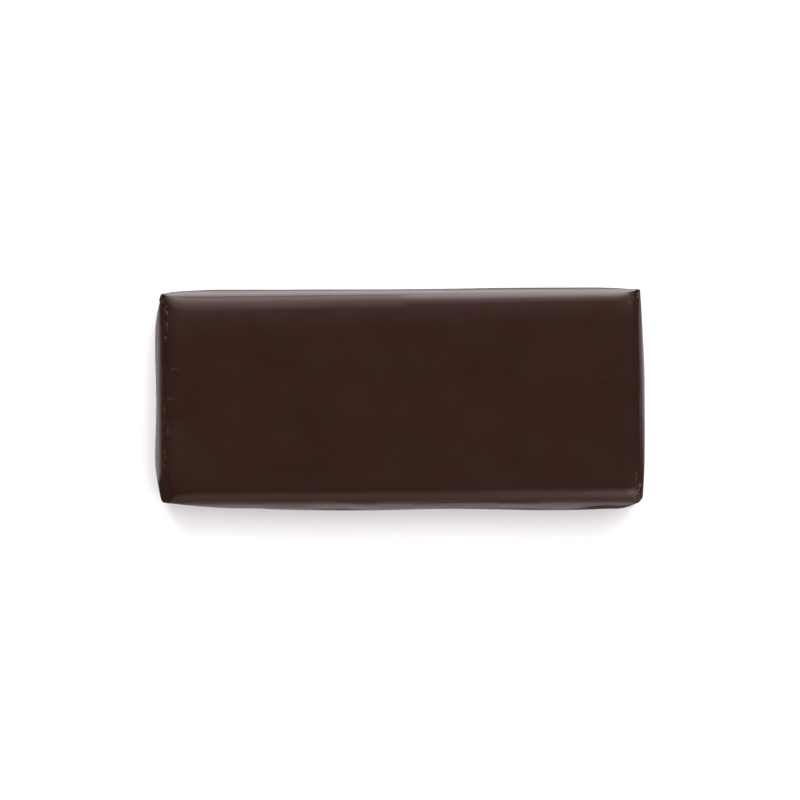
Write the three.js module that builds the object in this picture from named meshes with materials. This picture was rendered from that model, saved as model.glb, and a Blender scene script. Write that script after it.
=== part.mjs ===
// A filled chocolate: a bar-shaped block of ganache, cut with a wire frame and then coated in dark chocolate.
// It is one uncut piece, so it is one closed solid. Liquid chocolate sets thin over the corners of the block
// and thick over its flats, so the walls belly out between sharp corners, the top edges are softly rounded,
// and the foot draws in a little where the coat met the sheet it set on.
// Millimetres, +Z up. The origin is on the base, under the middle. +X runs along the bar, and -Y is its front.
import * as THREE from "three";
import { mergeVertices } from "three/addons/utils/BufferGeometryUtils.js";

// Driving dimensions of the block as its corners show it, before the walls belly out.
const LENGTH = 35.8;
const WIDTH = 15.68;
const HEIGHT = 11;
const WIDTH_RUN = 0.22; // how much wider the right end is cut than the left end
const LENGTH_RUN = -0.17; // how much longer the back is cut than the front

// Each wall's belly: how far it stands out, how far from its two corners it is full, and the slow waves along it.
// Distances along the back and front are measured from the left end, and along both ends from the back.
const WALLS = {
  back: { belly: 0.2, full: [2.2, 3.6], wave: 0.024, waves: 1.95, crest: 0.23 },
  front: { belly: 0.6, full: [8.8, 2.0], wave: 0.054, waves: 2.47, crest: 0.4 },
  left: { belly: 0.42, full: [3.3, 3.6], wave: 0.041, waves: 1.78, crest: 0.24 },
  right: { belly: 0.22, full: [7.4, 5.5], wave: 0.014, waves: 1.45, crest: -0.28 },
};
const BELLY_DEPTH = 3; // how far below the top a wall has come out in full
const FOOT_HEIGHT = 4; // where it starts to draw in again towards the base
const FOOT_SHARE = 0.55; // the part of the belly that is left at the base
const WALL_REACH = 6; // the higher, the closer a belly keeps to its own wall

// Radii of the edges: along the long top edges, along the two short ones, and at each upright corner.
const LONG_EDGE_RADIUS = 1.1;
const END_EDGE_RADIUS = { left: 0.62, right: 0.8 };
const CORNER_RADIUS = { backLeft: 0.3, backRight: 0.3, frontLeft: 0.2, frontRight: 0.5 };
const CORNER_SOFTENING = 0.6; // how much wider the upright corners are halfway up, where the coat is thickest
const ROUND_ONSET = 2; // how far from a corner the top edges reach their full radius

// The top face slopes down slightly in a band along its edges.
const TOP_FALL = 0.12;
const TOP_FALL_BAND = 2.2;
const TOP_REACH = 8; // the higher, the closer the fall keeps to the top face

// Faces along each direction. They crowd towards the edges, where the surface turns.
const STEPS = { x: 44, y: 24, z: 14 };

const clamp = THREE.MathUtils.clamp;
const lerp = THREE.MathUtils.lerp;
const halfLength = LENGTH / 2;
const halfWidth = WIDTH / 2;

// 0 at a corner and 1 from there on inwards, once share reaches 1.
const rise = (share) => Math.sin((clamp(share, 0, 1) * Math.PI) / 2);

// How far a wall's coat stands out at a distance along it.
function bellyAlong(wall, distance, length) {
  const { belly, full, wave, waves, crest } = wall;
  const held = rise(distance / full[0]) * rise((length - distance) / full[1]);
  return held * (belly + wave * Math.cos(2 * Math.PI * waves * (distance / length - crest)));
}

// The share of its belly that a wall has at a height: none at the top edge, all of it below, less at the foot.
function bellyAt(z) {
  const fromTop = clamp((HEIGHT - z) / BELLY_DEPTH, 0, 1);
  const toFoot = clamp((FOOT_HEIGHT - z) / FOOT_HEIGHT, 0, 1);
  return 1 - (1 - fromTop) ** 2 - (1 - FOOT_SHARE) * toFoot ** 2;
}

// The upright corners' radius, blended across the block from one corner to the next.
function cornerRadiusAt({ x, y }) {
  const right = THREE.MathUtils.smoothstep(x, -halfLength, halfLength);
  const back = THREE.MathUtils.smoothstep(y, -halfWidth, halfWidth);
  return lerp(
    lerp(CORNER_RADIUS.frontLeft, CORNER_RADIUS.frontRight, right),
    lerp(CORNER_RADIUS.backLeft, CORNER_RADIUS.backRight, right),
    back,
  );
}

// The radius that rounds the block near a point: its corner's own, and wider along the top edges.
function edgeRadiusAt(point) {
  const corner = cornerRadiusAt(point) + CORNER_SOFTENING * Math.sin((Math.PI * point.z) / HEIGHT);
  const endEdge = point.x > 0 ? END_EDGE_RADIUS.right : END_EDGE_RADIUS.left;
  const alongLongEdge = rise((halfLength - Math.abs(point.x)) / ROUND_ONSET);
  const alongEndEdge = rise((halfWidth - Math.abs(point.y)) / ROUND_ONSET);
  const wider = (LONG_EDGE_RADIUS - corner) * alongLongEdge + (endEdge - corner) * alongEndEdge;
  return corner + wider * clamp(point.z / HEIGHT, 0, 1) ** 2;
}

// Moves a point of the sharp block on to the rounded one.
function roundEdges(point) {
  const radius = edgeRadiusAt(point);
  const low = new THREE.Vector3(radius - halfLength, radius - halfWidth, radius);
  const high = new THREE.Vector3(halfLength - radius, halfWidth - radius, HEIGHT - radius);
  const inner = point.clone().clamp(low, high);
  return point.sub(inner).setLength(radius).add(inner);
}

// Lets the walls belly out, and the top face fall towards its edges.
function drape(point) {
  const { x, y, z } = point;
  const fromLeft = x + halfLength;
  const fromBack = halfWidth - y;
  const atEnd = clamp(Math.abs(x) / halfLength, 0, 1) ** WALL_REACH;
  const atSide = clamp(Math.abs(y) / halfWidth, 0, 1) ** WALL_REACH;
  const endWall = x > 0 ? WALLS.right : WALLS.left;
  const sideWall = y > 0 ? WALLS.back : WALLS.front;
  const endward = Math.sign(x) * atEnd * bellyAt(z) * bellyAlong(endWall, fromBack, WIDTH);
  const sideward = Math.sign(y) * atSide * bellyAt(z) * bellyAlong(sideWall, fromLeft, LENGTH);
  const nearEnd = clamp(1 - (halfLength - Math.abs(x)) / TOP_FALL_BAND, 0, 1);
  const nearSide = clamp(1 - (halfWidth - Math.abs(y)) / TOP_FALL_BAND, 0, 1);
  const fall = TOP_FALL * (nearEnd ** 2 + nearSide ** 2) * clamp(z / HEIGHT, 0, 1) ** TOP_REACH;
  const lengthened = x * (1 + (LENGTH_RUN / LENGTH) * (y / WIDTH));
  const widened = y * (1 + (WIDTH_RUN / WIDTH) * (x / LENGTH));
  return point.set(lengthened + endward, widened + sideward, z - fall);
}

function coatGeometry() {
  const box = new THREE.BoxGeometry(2, 2, 2, STEPS.x, STEPS.y, STEPS.z);
  box.deleteAttribute("normal");
  box.deleteAttribute("uv");
  const geometry = mergeVertices(box);
  const position = geometry.getAttribute("position");
  const point = new THREE.Vector3();
  const crowd = (share) => Math.sin((share * Math.PI) / 2);
  for (let i = 0; i < position.count; i += 1) {
    point.fromBufferAttribute(position, i);
    point.set(
      halfLength * crowd(point.x),
      halfWidth * crowd(point.y),
      (HEIGHT / 2) * (1 + crowd(point.z)),
    );
    position.setXYZ(i, ...drape(roundEdges(point)));
  }
  geometry.center(); // the bellies differ from wall to wall, so the middle is found again
  geometry.translate(0, 0, HEIGHT / 2);
  geometry.computeVertexNormals();
  return geometry;
}

const darkChocolate = new THREE.MeshStandardMaterial({ color: 0x38241f, roughness: 0.35, metalness: 0 });
const chocolate = new THREE.Mesh(coatGeometry(), darkChocolate);
chocolate.name = "coated_bar";

const filledChocolate = new THREE.Group();
filledChocolate.add(chocolate);

export default filledChocolate;
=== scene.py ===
"""A bar of filled chocolate in its dark coat, with the plain studio it lies in.

The file is laid out as an add-on and is run as a script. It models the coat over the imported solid, gives it
the sheen, pits and crumbs of set chocolate, and adds a pale floor, soft lights and a camera overhead.
Lengths are metres: +X runs along the bar, -Y is its front, and the base lies on z = 0.
"""
import math
import random

import bmesh
import bpy
from bpy.props import FloatProperty, FloatVectorProperty, IntProperty, IntVectorProperty, PointerProperty
from mathutils import Matrix, Vector, kdtree, noise


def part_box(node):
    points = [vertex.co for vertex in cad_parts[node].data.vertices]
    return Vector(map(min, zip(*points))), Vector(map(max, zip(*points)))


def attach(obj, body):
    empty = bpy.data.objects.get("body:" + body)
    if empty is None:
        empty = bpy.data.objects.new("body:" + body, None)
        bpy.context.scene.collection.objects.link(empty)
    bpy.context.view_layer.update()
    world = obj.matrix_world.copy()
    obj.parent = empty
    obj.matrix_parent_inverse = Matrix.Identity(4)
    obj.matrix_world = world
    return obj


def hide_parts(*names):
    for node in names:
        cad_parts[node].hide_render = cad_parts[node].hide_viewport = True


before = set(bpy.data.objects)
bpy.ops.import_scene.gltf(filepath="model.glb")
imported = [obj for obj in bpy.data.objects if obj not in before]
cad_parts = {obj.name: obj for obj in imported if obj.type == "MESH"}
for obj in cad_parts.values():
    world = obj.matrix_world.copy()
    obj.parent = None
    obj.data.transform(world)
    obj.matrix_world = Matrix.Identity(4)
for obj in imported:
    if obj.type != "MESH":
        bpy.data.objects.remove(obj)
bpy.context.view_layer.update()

bl_info = {
    "name": "Filled Chocolate",
    "version": (1, 0, 0),
    "blender": (4, 5, 0),
    "location": "3D View > Sidebar > Chocolate",
    "description": "Models a coated bar of filled chocolate and lays it in a plain studio",
    "category": "Add Mesh",
}

MM = 0.001
BAR_NODE = "coated_bar"
COAT = "chocolate_coat"
WEAR_AND_SHADE = "wear_and_shade"
BAR_LOW, BAR_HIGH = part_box(BAR_NODE)
BAR_SIZE = BAR_HIGH - BAR_LOW

# The walls, each from its first corner to its last: along the back and front from the left end, and along
# both ends from the back. A pair holds the values at those two corners.
# belly: how far the wall stands out; full: how far from each corner it does so in full
# onset: how far below the top it starts to stand out; depth: how far below that its belly has come out
# wave, waves, crest: the height of the slow waves along it, their number, and the share of its length at
#   which one of them peaks
# bumps: swells and hollows in the belly; lips: where the coat has sagged to a thin ledge under it. Each has
#   its distance along the wall, its reach to both sides and its height, in millimetres
# edge: the radius of the top's edge; fall: how far the top face falls towards it; band: in a band how wide
# settle: how far from each corner it falls in full
WALLS = {
    "back": dict(
        belly=0.2 * MM, full=(1.9 * MM, 3.6 * MM), onset=(0.2 * MM, 0.2 * MM), depth=(0.45 * MM, 0.45 * MM),
        wave=0.024 * MM, waves=1.95, crest=0.23, bumps=((4.0, 2.6, 0.062), (6.4, 2.6, 0.03)), lips=(),
        edge=(0.92 * MM, 0.65 * MM), fall=(0.39 * MM, 0.24 * MM), band=(3.8 * MM, 2.3 * MM),
        settle=(0.4 * MM, 1.0 * MM)),
    "front": dict(
        belly=0.6 * MM, full=(8.8 * MM, 2.0 * MM), onset=(0, 0), depth=(1.4 * MM, 1.4 * MM),
        wave=0.054 * MM, waves=2.47, crest=0.4,
        bumps=(
            (7.4, 3.2, -0.045), (13.0, 3.6, -0.09), (27.0, 6.0, -0.075), (33.0, 3.2, -0.22),
            (35.3, 0.7, -0.04)),
        lips=((13.0, 3.6, 0.08), (27.0, 6.0, 0.07), (33.0, 3.4, 0.2)),
        edge=(0.5 * MM, 0.27 * MM), fall=(0.34 * MM, 0.52 * MM), band=(1.1 * MM, 1.3 * MM),
        settle=(3.4 * MM, 0.8 * MM)),
    "left": dict(
        belly=0.46 * MM, full=(2.9 * MM, 3.5 * MM), onset=(0.2 * MM, 0.2 * MM), depth=(0.95 * MM, 0.95 * MM),
        wave=0.041 * MM, waves=1.78, crest=0.24, bumps=(), lips=(),
        edge=(0.75 * MM, 0.62 * MM), fall=(0.06 * MM, 0), band=(1.6 * MM, 1.6 * MM),
        settle=(0.5 * MM, 0.5 * MM)),
    "right": dict(
        belly=0.22 * MM, full=(6.7 * MM, 5.5 * MM), onset=(0.22 * MM, 0.03 * MM),
        depth=(0.88 * MM, 0.32 * MM),
        wave=0.014 * MM, waves=1.45, crest=-0.28, bumps=(), lips=(),
        edge=(0.5 * MM, 0.3 * MM), fall=(0.4 * MM, 0.22 * MM), band=(1.5 * MM, 1.3 * MM),
        settle=(0.5 * MM, 0.5 * MM)),
}
BELLY_CURVE = 1.1  # 1 brings a belly out in a straight slope, and 2 rounds it
LEAST_DEPTH = 0.2  # the share of its depth that even the shallowest part of a belly takes to come out
LIP_SLOPE = 1.5  # how far above where the belly is full a lip starts, against how far it stands out
FOOT_SHARPNESS = 0.65  # how much of the corners' radius is gone at the base
WALL_REACH = 6  # the higher, the closer a belly keeps to its own wall
TOP_REACH = 8  # the higher, the closer the top's fall keeps to the top face

# How the rows of faces spread up the walls: a share of the steps, and the share of the height they reach.
ROWS = ((0, 0), (0.06, 0.01), (0.2, 0.13), (0.42, 0.86), (0.85, 0.97), (1, 1))
CROWDING = (0.84, 0.4)  # how far the steps along and across the bar draw together towards its edges

# The radius of each upright corner where it meets the top.
CORNERS = {"back_left": 0.2 * MM, "back_right": 0.2 * MM, "front_left": 0.14 * MM, "front_right": 0.4 * MM}

# The flat that the front left corner is pressed to: the middle of its upper side, the bearing that it faces,
# how far it tips from level, how softly it bends into the rest, and how far from its middle it reaches.
FLAT_MIDDLE = Vector((-17.1, -7.2, 10.86)) * MM
FLAT_BEARING = math.radians(190)
FLAT_TIP = math.radians(38)
FLAT_BEND = 0.08 * MM
FLAT_REACH = 2.1 * MM
FLAT_SOFTNESS = 0.4  # the outer share of that reach in which the flat fades out

# Small marks in the coat, each from one point to another as seen from above, in millimetres: how far it
# reaches to both sides, how deep it is, where a negative depth stands out, and its wear or painted shade.
# Wear runs from 1, broken and scuffed pale, down to 0. Below 0, down to -1, a mark is darkened as painted
# shade, standing in for the shade in pits and creases, on faces turned from the lights and where sheen is
# dull.
MARKS = (
    # The fine pits down the left end's top edge, from the back corner to the front. Those with negative wear
    # are darkened as painted shade for their hollows; the rest are scuffed pale.
    ((-17.55, 7.76), (-17.5, 7.6), 0.15, 0.036, -0.48),
    ((-17.62, 7.42), (-17.56, 7.3), 0.1, 0.048, 0.3),
    ((-17.5, 7.1), (-17.44, 6.94), 0.12, 0.03, -0.64),
    ((-17.32, 7.08), (-17.28, 7.02), 0.08, 0.036, 0.6),
    ((-17.3, 6.72), (-17.22, 6.5), 0.11, 0.06, 0.5),
    ((-17.46, 6.56), (-17.44, 6.46), 0.08, 0.021, -0.64),
    ((-17.45, 6.05), (-17.42, 5.9), 0.1, 0.03, -0.64),
    ((-17.3, 5.84), (-17.25, 5.62), 0.09, 0.042, 0.5),
    ((-17.46, 5.6), (-17.44, 5.5), 0.08, 0.021, -0.48),
    ((-17.28, 5.4), (-17.24, 5.3), 0.09, 0.042, 0.4),
    ((-17.42, 5.2), (-17.4, 5.02), 0.11, 0.03, -0.64),
    ((-17.37, 4.7), (-17.36, 4.62), 0.08, 0.036, 0.5),
    ((-17.36, 3.56), (-17.36, 3.44), 0.08, 0.015, -0.32),
    ((-17.6, -0.5), (-17.46, -0.84), 0.1, 0.054, 0.25),
    ((-17.4, -0.96), (-17.4, -1.1), 0.09, 0.024, -0.48),
    ((-17.53, -1.5), (-17.52, -1.56), 0.08, 0.036, 0.4),
    ((-17.27, -2.1), (-17.26, -2.44), 0.07, -0.03, 0.45),
    ((-17.55, -3.7), (-17.5, -3.82), 0.08, 0.036, 0.3),
    ((-17.51, -4.1), (-17.5, -4.24), 0.08, 0.036, 0.4),
    ((-17.6, -4.7), (-17.56, -4.86), 0.08, 0.03, 0.3),
    # The strip that they lie in, darkened as painted shade where the rounded edge catches no sheen, a faint
    # raised hair beside them, and a lump on the back left corner, darkened a little as painted shade.
    ((-17.5, 7.3), (-17.4, 3.0), 0.42, 0.016, -0.13),
    ((-17.0, 2.36), (-16.4, 2.4), 0.08, -0.03, 0.25),
    ((-17.76, 7.5), (-17.64, 7.92), 0.2, -0.08, -0.2),
    # Painted shade over the front left corner's flat, which faces away from the lights, and the hollow inside
    # it, also darkened as painted shade.
    ((-17.65, -7.3), (-17.7, -6.2), 0.75, 0, -0.6),
    ((-17.0, -6.8), (-16.75, -7.35), 0.6, 0.03, -0.35),
    # Crumbly spots in the back right corner, the lump and pits among them darkened as painted shade, and the
    # dull patch in front of it.
    ((17.76, 8.1), (17.84, 8.0), 0.22, -0.07, -0.1),
    ((17.5, 7.84), (17.62, 7.86), 0.11, 0.024, -0.64),
    ((17.74, 7.64), (17.76, 7.54), 0.1, 0.036, 0.7),
    ((17.3, 7.66), (17.36, 7.64), 0.08, 0.015, -0.48),
    ((17.08, 7.24), (17.2, 7.04), 0.2, 0, 0.22),
    # Painted shade down the right end's top edge, standing in for its duller sheen, its pits towards the
    # front, and the torn streaks at the corner; the pits and streaks with negative wear are darkened as
    # painted shade.
    ((17.55, 6.6), (17.6, -4.6), 0.55, 0, -0.22),
    ((17.72, -4.6), (17.74, -4.7), 0.07, 0.018, -0.48),
    ((17.56, -5.5), (17.58, -5.56), 0.08, 0.03, 0.3),
    ((17.54, -5.9), (17.6, -6.02), 0.08, 0.042, 0.4),
    ((17.78, -6.1), (17.8, -6.2), 0.08, 0.024, -0.64),
    ((17.84, -6.44), (17.84, -6.5), 0.1, -0.06, 1),
    ((17.62, -6.62), (17.6, -6.72), 0.08, 0.021, -0.64),
    ((17.78, -6.84), (17.72, -7.0), 0.1, 0.03, -0.64),
    ((17.24, -7.26), (17.5, -7.42), 0.07, -0.04, 0.8),
    ((17.1, -7.42), (17.42, -7.6), 0.08, 0.024, -0.48),
    ((17.54, -7.56), (17.72, -7.52), 0.07, -0.04, 0.9),
    ((17.62, -7.2), (17.8, -7.14), 0.09, 0.048, 0.4),
    ((17.0, -7.32), (17.2, -7.22), 0.07, -0.03, 0.5),
    ((17.34, -7.1), (17.44, -7.28), 0.07, -0.03, 0.6),
    ((17.5, -7.18), (17.54, -7.3), 0.06, 0.02, -0.5),
    ((17.66, -7.34), (17.84, -7.4), 0.08, -0.03, 0.8),
    ((17.8, -7.54), (17.9, -7.44), 0.07, -0.02, 0.6),
    # A speck on the front's shoulder, and the dip where the shoulder ends, darkened as painted shade for the
    # dull gap in its sheen.
    ((13.74, -6.94), (13.82, -6.98), 0.08, -0.03, 0.5),
    ((16.74, -6.9), (16.78, -7.3), 0.2, 0.004, -0.3),
    # Fine creases between the shoulder and the flank, from left to right, darkened as painted shade.
    ((-14.8, -7.6), (-13.84, -7.62), 0.09, 0.008, -0.45),
    ((-11.32, -7.62), (-10.2, -7.62), 0.09, 0.008, -0.45),
    ((-4.42, -7.54), (-3.45, -7.54), 0.1, 0.008, -0.45),
    ((-2.7, -7.52), (-1.38, -7.56), 0.1, 0.008, -0.45),
    ((3.0, -7.6), (5.2, -7.55), 0.1, 0.008, -0.45),
    ((5.2, -7.55), (10.1, -7.5), 0.1, 0.008, -0.45),
    ((13.6, -7.52), (15.4, -7.44), 0.12, 0.008, -0.45),
    # Where the flank swells a little more.
    ((-9.9, -8.04), (-7.0, -8.04), 0.3, -0.03, 0),
    ((-3.3, -7.86), (-1.8, -7.9), 0.3, -0.03, 0),
    ((0.9, -7.92), (3.0, -7.92), 0.3, -0.02, 0),
    ((7.5, -7.8), (10.4, -7.85), 0.3, -0.03, 0),
    # A streak along the back, soft hollows in the top, and a faintly paler patch beside the left end's edge.
    ((-10.7, 6.86), (-5.2, 6.84), 0.4, -0.006, 0),
    ((-15.8, -1.8), (-15.6, -3.2), 1.8, 0.035, 0),
    ((13.0, -1.4), (14.6, -2.6), 2.4, 0.035, 0),
    ((-16.5, -2.4), (-16.4, -4.8), 1.3, 0, 0.035),
)
FACING_UP = 0.08  # the least upward lean of a point that counts as seen from above

# How often the patterns of the coat, the crumbs and the floor repeat per millimetre along, across and up.
CLOUDS = (0.16, 0.2, 0.2)
DULL_CLOUDS = (0.35, 0.5, 0.4)
STREAKS = (0.08, 2.2, 0.9)
GRAIN = (1.6, 2.4, 2)
SPECKLES = (9, 9, 9)
CRUMB_PATCHES = (4, 4, 4)
CRUMB_PITS = (22, 22, 22)
FLOOR_PATCHES = (0.03, 0.03, 0.03)
COAT_IOR = 1.4
SCUFF_WEAR = 0.4  # the wear from which a scuff is as dull as it gets
SCUFF_DULLNESS = 0.4  # and how much rougher than the coat it is then

CRUMBLY_WEAR = 0.25  # a mark with more wear than this sheds crumbs
CRUMB_STRAY = (0.5, 0.6)  # how far they stray from it along and across the bar, against its reach
CRUMB_TURN = 6.3  # the most that one is turned on the spot, in radians
CRUMB_STRETCH = ((0.7, 1.5), (0.6, 1), (0.45, 0.8))  # its least and greatest length, width and height
SMALLEST_CRUMB = 0.35  # its radius against the largest crumb's
CRUMB_LIFT = 0.15  # how far a crumb's middle lies above the coat, against its radius
CRUMB_GRAIN = 0.03 * MM  # the length of the bumps that roughen a crumb
CRUMB_ROUGHNESS = 0.001  # their height, against the crumb's distance from the origin
CRUMB_SEED = 11

# The lights, each with what takes it, the size of its panel, the place of its middle, and the point it faces
# where that isn't the bar's middle. One with no sheen leaves none on the coat, and one with no body shows in
# the sheen alone.
PALE = (1, 0.975, 1)  # the faint pink cast of the picture
WARM = (1, 0.89, 0.88)  # the warmer light that most of the sheen comes from
BAR_MIDDLE = (0, 0, 0.005)
LIGHTS = {
    "floor_wash": ("floor", dict(size=(0.6, 0.76), place=(0.06, 0.08, 1), target=(0.06, 0.08, 0))),
    "low_back_light": ("both", dict(size=(0.36, 0.078), place=(0.015, 0.2, 0.039))),
    "back_light": ("sweets", dict(size=(0.9, 0.22), place=(0.05, 0.5, 0.3), colour=WARM)),
    "upper_light": ("sweets", dict(size=(0.8, 0.35), place=(0.05, 0.36, 0.55), colour=WARM)),
    "front_card": ("sweets", dict(
        size=(0.2, 0.09), place=(0.04, -0.115, 0.095), target=(0.04, 0, 0.005), body=False, colour=WARM)),
    "corner_card": ("sweets", dict(
        size=(0.05, 0.035), place=(0.044, -0.05, 0.055), target=(0.02, 0, 0.008), body=False, colour=WARM)),
    "top_fill": ("sweets", dict(size=(1.0, 1.0), place=(0, 0, 1), sheen=False)),
    "front_fill": ("sweets", dict(size=(1.4, 0.15), place=(0, -0.6, 0.075), sheen=False)),
}
FLOOR_REACH = 3  # from the middle of the floor to its sides
FLOOR_MOTTLE = 0.985  # how dark the floor's faint mottling gets

# The camera stands this far along and across from over the bar's middle.
CAMERA_ASIDE = (0.025 * MM, -0.03 * MM)
SENSOR_WIDTH = 36


class CoatForm(bpy.types.PropertyGroup):
    """The form of the coat over the block of filling."""

    block_length: FloatProperty(
        name="Block length", description="Length between the corners, before the ends belly out",
        default=BAR_SIZE.x - 0.7 * MM, unit="LENGTH", precision=5)
    block_width: FloatProperty(
        name="Block width", description="Width between the corners, before the walls belly out",
        default=BAR_SIZE.y - 0.94 * MM, unit="LENGTH", precision=5)
    height: FloatProperty(
        name="Height", description="Height from the base to the top face",
        default=BAR_SIZE.z, unit="LENGTH", precision=5)
    width_run: FloatProperty(
        name="Width run", description="How much wider the right end is cut than the left end",
        default=0.22 * MM, unit="LENGTH", precision=5)
    length_run: FloatProperty(
        name="Length run", description="How much longer the back is cut than the front",
        default=-0.17 * MM, unit="LENGTH", precision=5)
    foot_height: FloatProperty(
        name="Foot height", description="Where a wall starts to draw in again towards the base",
        default=4 * MM, unit="LENGTH", precision=5)
    foot_share: FloatProperty(
        name="Foot share", description="The part of the belly that is left at the base",
        default=0.55, subtype="FACTOR", min=0, max=1)
    round_onset: FloatProperty(
        name="Round onset", description="How far from a corner the top edges reach their full radius",
        default=2 * MM, unit="LENGTH", precision=5)
    corner_softening: FloatProperty(
        name="Corner softening", description="How much wider the upright corners are halfway up",
        default=0.4 * MM, unit="LENGTH", precision=5)
    unevenness: FloatProperty(
        name="Unevenness", description="How far the coat's slow swells stand out or sink",
        default=0.02 * MM, unit="LENGTH", precision=5)
    swell_length: FloatProperty(
        name="Swell length", description="Distance between those swells",
        default=5.5 * MM, unit="LENGTH", precision=5)
    steps: IntVectorProperty(
        name="Steps", description="Faces along, across and up the bar",
        default=(150, 190, 48), min=4)


class CoatFinish(bpy.types.PropertyGroup):
    """The colours and sheen of the set chocolate."""

    colour: FloatVectorProperty(
        name="Colour", description="Body colour of the dark chocolate",
        default=(0.0208, 0.0074, 0.0047), subtype="COLOR", min=0, max=1)
    pale_colour: FloatVectorProperty(
        name="Pale colour", description="Colour of its slightly paler clouds",
        default=(0.0241, 0.0088, 0.0057), subtype="COLOR", min=0, max=1)
    scuff_colour: FloatVectorProperty(
        name="Scuff colour", description="Colour of broken edges and crumbs",
        default=(0.1, 0.062, 0.043), subtype="COLOR", min=0, max=1)
    # Painted shade: the dark colour that darkened marks blend towards, in place of shade and dull sheen.
    painted_shade_colour: FloatVectorProperty(
        name="Painted shade colour", description="Painted shade: the dark colour that darkened marks blend towards",
        default=(0.008, 0.0045, 0.0048), subtype="COLOR", min=0, max=1)
    roughness: FloatProperty(
        name="Roughness", description="Roughness of the sheen, at its glossiest",
        default=0.27, subtype="FACTOR", min=0, max=1)
    dullness: FloatProperty(
        name="Dullness", description="How much rougher the dullest clouds are",
        default=0.08, subtype="FACTOR", min=0, max=1)
    grain: FloatProperty(
        name="Grain", description="Depth of the fine grain in the sheen",
        default=0.004 * MM, unit="LENGTH", precision=6)
    crumbs: IntProperty(
        name="Crumbs", description="How many loose crumbs lie in the marks along the edges",
        default=60, min=0)
    crumb_size: FloatProperty(
        name="Crumb size", description="Radius of the largest crumbs",
        default=0.045 * MM, unit="LENGTH", precision=6)


class Studio(bpy.types.PropertyGroup):
    """The floor, lights and camera."""

    floor_colour: FloatVectorProperty(
        name="Floor colour", description="Colour of the pale floor",
        default=(0.92, 0.92, 0.92), subtype="COLOR", min=0, max=1)
    floor_wash: FloatProperty(
        name="Floor wash", description="Brightness of the broad light that only the floor takes",
        default=12.0, min=0)
    low_back_light: FloatProperty(
        name="Low back light", description="Brightness of the long softbox behind the bar",
        default=12.0, min=0)
    back_light: FloatProperty(
        name="Back light", description="Brightness of the softbox above it", default=6.6, min=0)
    upper_light: FloatProperty(
        name="Upper light", description="Brightness of the faint panel over both", default=1.15, min=0)
    front_card: FloatProperty(
        name="Front card", description="Brightness of the soft card in front of the bar", default=0.8, min=0)
    corner_card: FloatProperty(
        name="Corner card", description="Brightness of the small card by the front right corner",
        default=3.6, min=0)
    top_fill: FloatProperty(
        name="Top fill", description="Brightness of the soft fill from above, which leaves no sheen",
        default=1.62, min=0)
    front_fill: FloatProperty(
        name="Front fill", description="Brightness of the soft fill from the front, which leaves no sheen",
        default=13.5, min=0)
    room: FloatProperty(
        name="Room", description="Brightness of the dim room round the lights", default=0.02, min=0)
    camera_height: FloatProperty(
        name="Camera height", description="Height of the camera above the floor",
        default=0.76, unit="LENGTH")
    framed_width: FloatProperty(
        name="Framed width", description="Width of the picture, measured at the framed height",
        default=59.73 * MM, unit="LENGTH", precision=5)
    framed_height: FloatProperty(
        name="Framed height", description="Height above the floor at which the picture has the framed width",
        default=8 * MM, unit="LENGTH", precision=5)
    turn: FloatProperty(
        name="Turn", description="How far the bar is turned in the picture",
        default=math.radians(0.316), subtype="ANGLE")


def clamp(value, low=0.0, high=1.0):
    return max(low, min(high, value))


def rise(share):
    """0 at a corner, and 1 from where share reaches 1."""
    return math.sin(clamp(share) * math.pi / 2)


def smooth(share):
    share = clamp(share)
    return share * share * (3 - 2 * share)


def mix(a, b, share):
    return a + (b - a) * share


def held(reaches, distance, length):
    """0 at both corners of a wall, and 1 from where each corner's reach ends."""
    return rise(distance / reaches[0]) * rise((length - distance) / reaches[1])


def hills(places, distance):
    """The height that the bumps or lips listed along a wall have together at a distance along it."""
    total = 0
    for middle, reach, height in places:
        total += height * MM * smooth(1 - abs(distance - middle * MM) / (reach * MM))
    return total


def belly_along(wall, distance, length):
    """How far a wall's coat stands out at a distance along it."""
    turn = 2 * math.pi * wall["waves"] * (distance / length - wall["crest"])
    waved = wall["belly"] + wall["wave"] * math.cos(turn)
    return held(wall["full"], distance, length) * waved + hills(wall["bumps"], distance)


def stand_out_at(form, wall, share, z, length):
    """How far a wall's belly and lip stand out at a height: less under the top, and again at the foot."""
    belly = belly_along(wall, share * length, length)
    below = form.height - mix(*wall["onset"], share) - z
    depth = mix(*wall["depth"], share) * max(belly / wall["belly"], LEAST_DEPTH)
    out = belly * (1 - (1 - clamp(below / depth)) ** BELLY_CURVE)
    lip = hills(wall["lips"], share * length)
    if lip > 0:
        out += lip * clamp(1 + (below - depth) / (LIP_SLOPE * lip)) ** 2
    to_foot = clamp((form.foot_height - z) / form.foot_height)
    return out * (1 - (1 - form.foot_share) * to_foot ** 2)


def walls_at(form, x, y):
    """The end wall and side wall nearest to a point, and how far along each the point lies, from 0 to 1."""
    end_wall = WALLS["right"] if x > 0 else WALLS["left"]
    side_wall = WALLS["back"] if y > 0 else WALLS["front"]
    return (end_wall, clamp(0.5 - y / form.block_width)), (side_wall, clamp(0.5 + x / form.block_length))


def corner_radius_at(form, x, y):
    """The upright corners' radius, blended across the block from one corner to the next."""
    right = smooth(x / form.block_length + 0.5)
    back = smooth(y / form.block_width + 0.5)
    at_front = mix(CORNERS["front_left"], CORNERS["front_right"], right)
    at_back = mix(CORNERS["back_left"], CORNERS["back_right"], right)
    return mix(at_front, at_back, back)


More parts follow.
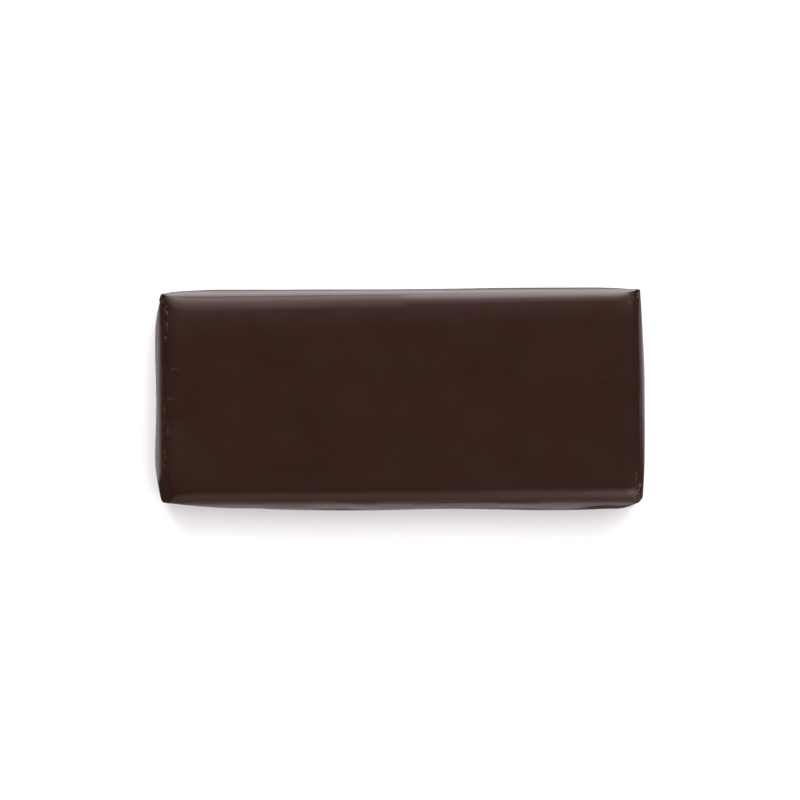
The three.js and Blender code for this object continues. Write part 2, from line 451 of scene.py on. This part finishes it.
def edge_radius_at(form, x, y, z):
    """The radius that rounds the block near a point: its corner's own, and wider along the top edges."""
    sharpened = 1 - FOOT_SHARPNESS * clamp(1 - z / form.foot_height)
    softened = form.corner_softening * math.sin(math.pi * z / form.height)
    corner = corner_radius_at(form, x, y) * sharpened + softened
    wider = 0
    for (wall, share), half, across in zip(
            walls_at(form, x, y), (form.block_width / 2, form.block_length / 2), (y, x)):
        wider += (mix(*wall["edge"], share) - corner) * rise((half - abs(across)) / form.round_onset)
    return corner + wider * clamp(z / form.height) ** 2


def round_edges(form, point):
    """Moves a point of the sharp block on to the rounded one."""
    radius = edge_radius_at(form, *point)
    half_length, half_width = form.block_length / 2, form.block_width / 2
    inner = Vector((
        clamp(point.x, radius - half_length, half_length - radius),
        clamp(point.y, radius - half_width, half_width - radius),
        clamp(point.z, radius, form.height - radius)))
    outward = point - inner
    return inner + outward.normalized() * radius


def drape(form, point):
    """Lets the walls belly out, and the top face fall towards its edges."""
    halves = Vector((form.block_length / 2, form.block_width / 2))
    moved = Vector((0, 0))
    fall = 0
    for axis, (wall, share) in enumerate(walls_at(form, point.x, point.y)):
        along = 2 * halves[1 - axis]
        stand_out = stand_out_at(form, wall, share, point.z, along)
        at_wall = clamp(abs(point[axis]) / halves[axis]) ** WALL_REACH
        moved[axis] = math.copysign(at_wall * stand_out, point[axis])
        near_edge = clamp(1 - (halves[axis] - abs(point[axis])) / mix(*wall["band"], share))
        fall += mix(*wall["fall"], share) * near_edge ** 2 * held(wall["settle"], share * along, along)
    lengthened = point.x * (1 + form.length_run / form.block_length * point.y / form.block_width)
    widened = point.y * (1 + form.width_run / form.block_width * point.x / form.block_length)
    lowered = point.z - fall * clamp(point.z / form.height) ** TOP_REACH
    return Vector((lengthened + moved.x, widened + moved.y, lowered))


def gridded_cube(mesh, steps):
    """A cube from -1 to 1 whose faces are grids, with its own number of steps along each axis."""
    bmesh.ops.create_cube(mesh, size=2)
    for axis, count in enumerate(steps):
        along = [e for e in mesh.edges if abs(e.verts[0].co[axis] - e.verts[1].co[axis]) > 1]
        bmesh.ops.subdivide_edges(mesh, edges=along, cuts=count - 1, use_grid_fill=True)


def crowd(share, crowding):
    """Draws the steps from -1 to 1 together towards both ends."""
    return share + crowding * math.sin(math.pi * share) / math.pi


def row_height(form, share):
    """The height of a row of faces at a share of the steps, which crowd where the walls turn."""
    for (low_share, low), (high_share, high) in zip(ROWS, ROWS[1:]):
        if share <= high_share:
            return form.height * mix(low, high, clamp((share - low_share) / (high_share - low_share)))
    return form.height


def fit_to_bar(mesh):
    """Brings the coat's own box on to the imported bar's, whose size it has to 0.03 mm already."""
    corners = [[f(v.co[axis] for v in mesh.verts) for axis in range(3)] for f in (min, max)]
    low, high = Vector(corners[0]), Vector(corners[1])
    scale = Vector(BAR_SIZE[axis] / (high - low)[axis] for axis in range(3))
    bmesh.ops.translate(mesh, verts=mesh.verts, vec=-low)
    bmesh.ops.scale(mesh, verts=mesh.verts, vec=scale)
    bmesh.ops.translate(mesh, verts=mesh.verts, vec=BAR_LOW)


def new_piece(name, mesh, material):
    """A smooth-shaded object of a finished bmesh, riding on the one body."""
    data = bpy.data.meshes.new(name)
    mesh.to_mesh(data)
    mesh.free()
    data.shade_smooth()
    data.materials.append(material)
    piece = bpy.data.objects.new(name, data)
    bpy.context.scene.collection.objects.link(piece)
    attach(piece, "root")
    return piece


def node(tree, kind, **inputs):
    """A node of a kind, with some of its inputs set or linked."""
    made = tree.nodes.new(kind)
    for name, value in inputs.items():
        socket = made.inputs[name.replace("_", " ")]
        if isinstance(value, bpy.types.NodeSocket):
            tree.links.new(value, socket)
        else:
            socket.default_value = value
    return made


def noise_in_mm(tree, place, scale, **inputs):
    """Noise whose scale counts per millimetre along each axis of the piece."""
    mapping = node(tree, "ShaderNodeMapping", Vector=place, Scale=[value / MM for value in scale])
    made = node(tree, "ShaderNodeTexNoise", Vector=mapping.outputs["Vector"], Scale=1, **inputs)
    return made.outputs["Fac"]


def spread(tree, value, low, high, to_low=0.0, to_high=1.0):
    """Stretches the range from low to high over the range from to_low to to_high."""
    made = node(tree, "ShaderNodeMapRange", Value=value)
    for name, limit in (("From Min", low), ("From Max", high), ("To Min", to_low), ("To Max", to_high)):
        made.inputs[name].default_value = limit
    return made.outputs["Result"]


def blend_colour(tree, share, a, b):
    """A blend from one colour to another, each of which may be a socket."""
    made = tree.nodes.new("ShaderNodeMix")
    made.data_type = "RGBA"
    tree.links.new(share, made.inputs["Factor"])
    for identifier, colour in (("A_Color", a), ("B_Color", b)):
        socket = next(each for each in made.inputs if each.identifier == identifier)
        if isinstance(colour, bpy.types.NodeSocket):
            tree.links.new(colour, socket)
        else:
            socket.default_value = (*colour, 1)
    return next(each for each in made.outputs if each.identifier == "Result_Color")


def arithmetic(tree, operation, a, b):
    """A sum or product, of which each part may be a socket."""
    made = tree.nodes.new("ShaderNodeMath")
    made.operation = operation
    for socket, value in zip(made.inputs, (a, b)):
        if isinstance(value, bpy.types.NodeSocket):
            tree.links.new(value, socket)
        else:
            socket.default_value = value
    return made.outputs["Value"]


def coat_material(finish):
    """Set dark chocolate: cloudy brown, satin sheen, faint streaks, scuffs, painted shade in darkened marks.
    """
    material = bpy.data.materials.new("dark_chocolate")
    material.use_nodes = True
    tree = material.node_tree
    shader = tree.nodes["Principled BSDF"]
    shader.inputs["IOR"].default_value = COAT_IOR
    place = tree.nodes.new("ShaderNodeTexCoord").outputs["Object"]
    wear_and_shade = tree.nodes.new("ShaderNodeAttribute")
    wear_and_shade.attribute_name = WEAR_AND_SHADE
    scuffed = spread(tree, wear_and_shade.outputs["Fac"], 0, 1)
    # Wear below 0 is painted shade, standing in for shade in pits and creases and for a dull sheen.
    painted_shade = spread(tree, wear_and_shade.outputs["Fac"], 0, -1)
    clouds = noise_in_mm(tree, place, CLOUDS, Detail=3, Roughness=0.55)
    streaks = noise_in_mm(tree, place, STREAKS, Detail=2, Roughness=0.5)
    dull_clouds = noise_in_mm(tree, place, DULL_CLOUDS, Detail=4, Roughness=0.6)
    grain = noise_in_mm(tree, place, GRAIN, Detail=2, Roughness=0.5)

    pale_clouds = spread(tree, clouds, 0.35, 0.75, 0, 0.8)
    pale_streaks = spread(tree, streaks, 0.4, 0.8, 0, 0.35)
    cloudy = arithmetic(tree, "ADD", pale_clouds, pale_streaks)
    brown = blend_colour(tree, cloudy, finish.colour, finish.pale_colour)
    # The brown, darkened there towards the painted shade colour.
    brown_with_painted_shade = blend_colour(tree, painted_shade, brown, finish.painted_shade_colour)
    speckles = spread(tree, noise_in_mm(tree, place, SPECKLES, Detail=1), 0.4, 0.55, 0.2)
    paler = blend_colour(tree, arithmetic(tree, "MULTIPLY", scuffed, speckles), brown_with_painted_shade, finish.scuff_colour)
    tree.links.new(paler, shader.inputs["Base Color"])

    sheen = spread(tree, dull_clouds, 0.3, 0.7, finish.roughness, finish.roughness + finish.dullness)
    worn = spread(tree, scuffed, 0, SCUFF_WEAR, 0, SCUFF_DULLNESS)
    tree.links.new(arithmetic(tree, "ADD", sheen, worn), shader.inputs["Roughness"])

    low_grain = arithmetic(tree, "MULTIPLY", grain, 0.6)
    low_streaks = arithmetic(tree, "MULTIPLY", streaks, 0.8)
    relief = arithmetic(tree, "ADD", low_grain, low_streaks)
    bump = node(tree, "ShaderNodeBump", Height=relief, Distance=finish.grain)
    tree.links.new(bump.outputs["Normal"], shader.inputs["Normal"])
    return material


def crumb_material(finish):
    """Broken chocolate: paler, matt and uneven."""
    material = bpy.data.materials.new("chocolate_crumb")
    material.use_nodes = True
    tree = material.node_tree
    shader = tree.nodes["Principled BSDF"]
    place = tree.nodes.new("ShaderNodeTexCoord").outputs["Object"]
    patches = noise_in_mm(tree, place, CRUMB_PATCHES, Detail=2)
    pits = noise_in_mm(tree, place, CRUMB_PITS, Detail=3)
    brown = blend_colour(tree, spread(tree, patches, 0.38, 0.62), finish.pale_colour, finish.scuff_colour)
    tree.links.new(brown, shader.inputs["Base Color"])
    tree.links.new(spread(tree, pits, 0.3, 0.7, 0.65, 0.9), shader.inputs["Roughness"])
    bump = node(tree, "ShaderNodeBump", Height=pits, Distance=2 * finish.grain)
    tree.links.new(bump.outputs["Normal"], shader.inputs["Normal"])
    return material


def swell(form, mesh):
    """Gives the coat its slow swells, and leaves the base flat."""
    mesh.normal_update()
    for vertex in mesh.verts:
        above_foot = smooth(vertex.co.z / form.foot_height)
        lift = noise.noise(vertex.co / form.swell_length) * form.unevenness * above_foot
        vertex.co += vertex.normal * lift


def press_flat(mesh):
    """Presses what stands above the flat's plane down on to it, with a soft bend round it."""
    level = math.sin(FLAT_TIP)
    facing = Vector((level * math.cos(FLAT_BEARING), level * math.sin(FLAT_BEARING), math.cos(FLAT_TIP)))
    for vertex in mesh.verts:
        from_middle = vertex.co - FLAT_MIDDLE
        near = smooth((1 - from_middle.xy.length / FLAT_REACH) / FLAT_SOFTNESS)
        above = from_middle.dot(facing)
        bent = clamp(above + FLAT_BEND, 0, 2 * FLAT_BEND) ** 2 / (4 * FLAT_BEND)
        vertex.co -= facing * near * (bent + max(above - FLAT_BEND, 0))


def seen_from_above(vertices):
    """A tree for finding the points that face up by their place in plan, and those points."""
    upper = [vertex for vertex in vertices if vertex.normal.z > FACING_UP and vertex.co.z > BAR_HIGH.z / 2]
    tree = kdtree.KDTree(len(upper))
    for index, vertex in enumerate(upper):
        tree.insert((vertex.co.x, vertex.co.y, 0), index)
    tree.balance()
    return tree, upper


def press_marks(mesh):
    """Presses the small marks into the coat; a float layer notes each point's wear or painted shade."""
    layer = mesh.verts.layers.float.new(WEAR_AND_SHADE)
    mesh.normal_update()
    tree, upper = seen_from_above(mesh.verts)
    pushes = {}
    for start, end, reach, depth, wear_and_shade in MARKS:
        start, end = Vector((*start, 0)) * MM, Vector((*end, 0)) * MM
        middle, along = (start + end) / 2, end - start
        for place, index, _ in tree.find_range(middle, reach * MM + along.length / 2):
            share = clamp((place - start).dot(along) / along.length_squared)
            near = smooth(1 - (place - start - along * share).length / (reach * MM))
            vertex = upper[index]
            vertex[layer] = max(vertex[layer], near * wear_and_shade, key=abs)
            pushes[vertex] = pushes.get(vertex, Vector()) - vertex.normal * near * depth * MM
    for vertex, push in pushes.items():
        vertex.co += push


def add_crumb(mesh, under, size, chance):
    """Lays one stretched crumb on a point of the coat, turned at random."""
    upright = under.normal.to_track_quat("Z", "Y").to_matrix()
    turn = upright @ Matrix.Rotation(chance.uniform(0, CRUMB_TURN), 3, "Z")
    stretch = Matrix.Diagonal([chance.uniform(*limits) for limits in CRUMB_STRETCH])
    middle = Matrix.Translation(under.co + under.normal * size * CRUMB_LIFT)
    bmesh.ops.create_icosphere(mesh, subdivisions=2, radius=size, matrix=middle @ (turn @ stretch).to_4x4())


class CHOCOLATE_OT_coat(bpy.types.Operator):
    """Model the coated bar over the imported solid"""

    bl_idname = "chocolate.coat"
    bl_label = "Coat"

    def execute(self, context):
        form = context.scene.chocolate_form
        mesh = bmesh.new()
        gridded_cube(mesh, form.steps)
        for vertex in mesh.verts:
            point = Vector((
                form.block_length / 2 * crowd(vertex.co.x, CROWDING[0]),
                form.block_width / 2 * crowd(vertex.co.y, CROWDING[1]),
                row_height(form, (vertex.co.z + 1) / 2)))
            vertex.co = drape(form, round_edges(form, point))
        swell(form, mesh)
        fit_to_bar(mesh)
        press_flat(mesh)
        press_marks(mesh)
        piece = new_piece(COAT, mesh, coat_material(context.scene.chocolate_finish))
        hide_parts(BAR_NODE)
        return {"FINISHED"}


class CHOCOLATE_OT_crumbs(bpy.types.Operator):
    """Strew small crumbs in the scuffed marks along the coat's edges"""

    bl_idname = "chocolate.crumbs"
    bl_label = "Crumbs"

    def execute(self, context):
        coat = bpy.data.objects.get(COAT)
        if coat is None:
            raise RuntimeError("The crumbs lie on the coat, so the coat is made first.")
        finish = context.scene.chocolate_finish
        tree, upper = seen_from_above(coat.data.vertices)
        crumbly = [mark for mark in MARKS if mark[4] > CRUMBLY_WEAR]
        chance = random.Random(CRUMB_SEED)
        mesh = bmesh.new()
        for _ in range(finish.crumbs):
            start, end, reach, _, _ = chance.choice(crumbly)
            place = Vector((*start, 0)).lerp(Vector((*end, 0)), chance.random()) * MM
            place += Vector((*[chance.gauss(0, stray) for stray in CRUMB_STRAY], 0)) * (reach * MM)
            under = upper[tree.find(place)[1]]
            size = finish.crumb_size * mix(SMALLEST_CRUMB, 1, chance.random() ** 2)
            add_crumb(mesh, under, size, chance)
        for vertex in mesh.verts:
            vertex.co *= 1 + CRUMB_ROUGHNESS * noise.noise(vertex.co / CRUMB_GRAIN)
        new_piece("edge_crumbs", mesh, crumb_material(finish))
        return {"FINISHED"}


def aim(thing, target):
    """Turns a light or camera's -Z towards a point."""
    thing.rotation_euler = (Vector(target) - thing.location).to_track_quat("-Z", "Y").to_euler()


def soft_light(name, radiance, lit, size, place, target=BAR_MIDDLE, sheen=True, body=True, colour=PALE):
    """A rectangular light of a given brightness, which the camera doesn't see."""
    data = bpy.data.lights.new(name, "AREA")
    data.shape = "RECTANGLE"
    data.size, data.size_y = size
    data.energy = radiance * math.pi * size[0] * size[1]
    data.color = colour
    light = bpy.data.objects.new(name, data)
    light.location = place
    aim(light, target)
    light.visible_camera = False
    light.visible_glossy = sheen
    light.visible_diffuse = body
    light.light_linking.receiver_collection = lit
    bpy.context.scene.collection.objects.link(light)


def lit_by(name, thing, state):
    """A collection with which a light falls on one thing alone, or on all but it."""
    collection = bpy.data.collections.new(name)
    collection.objects.link(thing)
    collection.collection_objects[0].light_linking.link_state = state
    return collection


def floor_material(studio):
    """A matt pale paper, very faintly mottled."""
    material = bpy.data.materials.new("pale_floor")
    material.use_nodes = True
    tree = material.node_tree
    shader = tree.nodes["Principled BSDF"]
    place = tree.nodes.new("ShaderNodeTexCoord").outputs["Object"]
    mottle = spread(tree, noise_in_mm(tree, place, FLOOR_PATCHES, Detail=3), 0.3, 0.7)
    shade = [FLOOR_MOTTLE * value for value in studio.floor_colour]
    tree.links.new(blend_colour(tree, mottle, studio.floor_colour, shade), shader.inputs["Base Color"])
    shader.inputs["Roughness"].default_value = 1
    shader.inputs["Specular IOR Level"].default_value = 0
    return material


def overhead_camera(studio):
    """A long lens straight above the bar, turned so that the bar lies as it does in the picture."""
    data = bpy.data.cameras.new("overhead_camera")
    data.sensor_width = SENSOR_WIDTH
    data.lens = SENSOR_WIDTH * (studio.camera_height - studio.framed_height) / studio.framed_width
    data.clip_end = 20
    camera = bpy.data.objects.new("overhead_camera", data)
    camera.location = (*CAMERA_ASIDE, studio.camera_height)
    camera.rotation_euler = (0, 0, -studio.turn)
    bpy.context.scene.collection.objects.link(camera)
    bpy.context.scene.camera = camera


class CHOCOLATE_OT_stage(bpy.types.Operator):
    """Lay a pale floor and set up the lights and the overhead camera"""

    bl_idname = "chocolate.stage"
    bl_label = "Stage"

    def execute(self, context):
        studio = context.scene.chocolate_studio
        mesh = bmesh.new()
        bmesh.ops.create_grid(mesh, x_segments=1, y_segments=1, size=FLOOR_REACH)
        data = bpy.data.meshes.new("floor")
        mesh.to_mesh(data)
        mesh.free()
        data.materials.append(floor_material(studio))
        floor = bpy.data.objects.new("floor", data)
        context.scene.collection.objects.link(floor)

        takers = {
            "floor": lit_by("floor_only", floor, "INCLUDE"),
            "sweets": lit_by("sweets_only", floor, "EXCLUDE"),
            "both": None,
        }
        for name, (taker, look) in LIGHTS.items():
            soft_light(name, getattr(studio, name), takers[taker], **look)
        overhead_camera(studio)

        world = bpy.data.worlds.new("dim_room")
        world.use_nodes = True
        world.node_tree.nodes["Background"].inputs["Color"].default_value = (*[studio.room] * 3, 1)
        context.scene.world = world
        context.scene.view_settings.view_transform = "Standard"
        return {"FINISHED"}


class CHOCOLATE_PT_panel(bpy.types.Panel):
    """The chocolate's pieces, sizes and colours"""

    bl_label = "Filled Chocolate"
    bl_idname = "CHOCOLATE_PT_panel"
    bl_space_type = "VIEW_3D"
    bl_region_type = "UI"
    bl_category = "Chocolate"

    def draw(self, context):
        for operator, group in (
                (CHOCOLATE_OT_coat, context.scene.chocolate_form),
                (CHOCOLATE_OT_crumbs, context.scene.chocolate_finish),
                (CHOCOLATE_OT_stage, context.scene.chocolate_studio)):
            box = self.layout.box()
            box.operator(operator.bl_idname)
            for name in group.__annotations__:
                box.prop(group, name)


CLASSES = (
    CoatForm, CoatFinish, Studio,
    CHOCOLATE_OT_coat, CHOCOLATE_OT_crumbs, CHOCOLATE_OT_stage, CHOCOLATE_PT_panel,
)


def register():
    for each in CLASSES:
        bpy.utils.register_class(each)
    bpy.types.Scene.chocolate_form = PointerProperty(type=CoatForm)
    bpy.types.Scene.chocolate_finish = PointerProperty(type=CoatFinish)
    bpy.types.Scene.chocolate_studio = PointerProperty(type=Studio)


def unregister():
    del bpy.types.Scene.chocolate_studio
    del bpy.types.Scene.chocolate_finish
    del bpy.types.Scene.chocolate_form
    for each in reversed(CLASSES):
        bpy.utils.unregister_class(each)


def main():
    register()
    bpy.ops.chocolate.coat()
    bpy.ops.chocolate.crumbs()
    bpy.ops.chocolate.stage()


if __name__ == "__main__":
    main()
